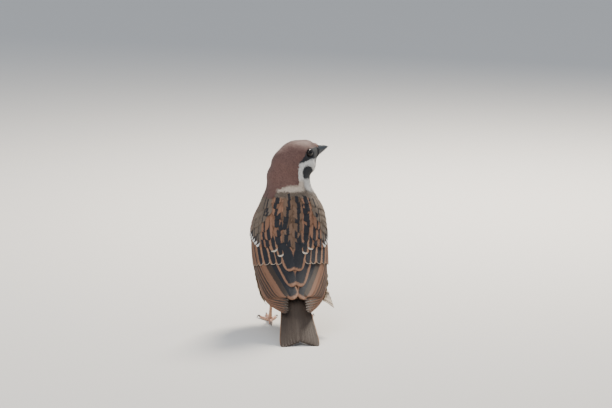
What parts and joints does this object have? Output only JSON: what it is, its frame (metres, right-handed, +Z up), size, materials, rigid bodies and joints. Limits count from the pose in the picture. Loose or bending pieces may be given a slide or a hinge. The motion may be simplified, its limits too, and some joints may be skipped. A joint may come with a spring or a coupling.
{
  "type": "tree sparrow figure",
  "caption": "Life-size still model of a tree sparrow standing upright on both feet, tail laid back on the floor, head turned to its right.",
  "frame": {"origin": "middle of the underside of its box, on the floor that it stands on", "axes": "+Z up, -Y ahead of the bird's breast, +X to the bird's left"},
  "size_m": [0.0486, 0.0978, 0.1049],
  "materials": {
    "chestnut": "soft contour feathers, chestnut",
    "pale_neck": "soft contour feathers, pale grey",
    "streaked_brown": "soft contour feathers, brown streaked with black",
    "wing_brown": "firm wing feathers, dark with rufous edges",
    "tail_brown": "firm tail feathers, grey-brown",
    "buff": "loose downy feathers, buff",
    "horn": "satin blackish horn",
    "leg": "scaled skin, orange-brown",
    "eye": "wet dark brown"
  },
  "bodies": {
    "root": {"head": "chestnut", "neck": "pale_neck", "trunk": "streaked_brown", "tail": "tail_brown", "bill_upper": "horn", "bill_lower": "horn", "eye_left": "eye", "eye_right": "eye", "wing_left_coverts": "wing_brown", "wing_left_secondaries": "wing_brown", "wing_left_primaries": "wing_brown", "thigh_left": "buff", "tarsus_left": "leg", "foot_left": "leg", "claw_left_inner": "horn", "claw_left_middle": "horn", "claw_left_outer": "horn", "claw_left_hind": "horn", "wing_right_coverts": "wing_brown", "wing_right_secondaries": "wing_brown", "wing_right_primaries": "wing_brown", "thigh_right": "buff", "tarsus_right": "leg", "foot_right": "leg", "claw_right_inner": "horn", "claw_right_middle": "horn", "claw_right_outer": "horn", "claw_right_hind": "horn"}
  },
  "joints": []
}
